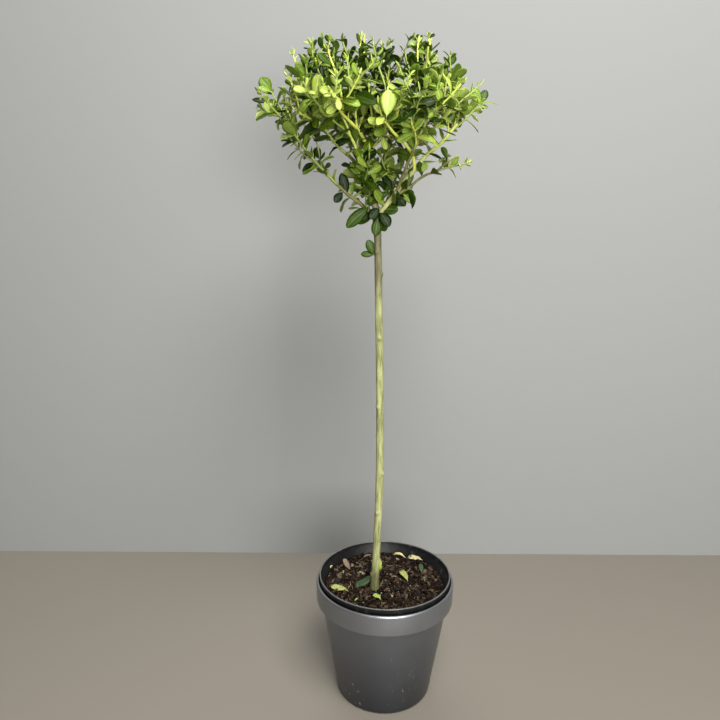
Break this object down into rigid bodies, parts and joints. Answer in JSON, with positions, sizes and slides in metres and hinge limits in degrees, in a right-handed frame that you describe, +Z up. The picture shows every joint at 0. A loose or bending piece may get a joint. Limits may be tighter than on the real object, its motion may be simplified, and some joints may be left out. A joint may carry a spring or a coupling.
{
  "type": "standard lollipop topiary in a pot",
  "caption": "Small evergreen grown as a standard: a bare stem under a loose fan-shaped head of glossy leaves, in a nursery pot set inside a charcoal planter.",
  "frame": {"origin": "middle of the planter's flat underside, on the surface it stands on", "axes": "+Z up along the pot's axis and the stem, -Y towards the front, +X to the right seen from the front"},
  "size_m": [0.2628, 0.2335, 0.7803],
  "materials": {
    "charcoal_plastic": "satin",
    "black_plastic": "satin",
    "compost": "matte",
    "bark": "matte",
    "leaf": "satin"
  },
  "bodies": {
    "root": {"planter": "charcoal_plastic", "nursery_pot": "black_plastic", "compost": "compost", "stem": "bark", "bough_back_left": "bark", "bough_back_right": "bark", "bough_front_left": "bark", "bough_front_right": "bark", "bough_leader": "bark", "bough_left": "bark", "bough_left_low": "bark", "bough_right": "bark", "bough_right_low": "bark", "bough_upright": "bark", "leaves_back_left": "leaf", "leaves_back_right": "leaf", "leaves_fork": "leaf", "leaves_front_left": "leaf", "leaves_front_right": "leaf", "leaves_heart": "leaf", "leaves_left": "leaf", "leaves_low_back": "leaf", "leaves_low_front": "leaf", "leaves_low_left": "leaf", "leaves_low_right": "leaf", "leaves_right": "leaf", "leaves_top": "leaf", "leaves_top_left": "leaf", "leaves_top_right": "leaf"}
  },
  "joints": []
}
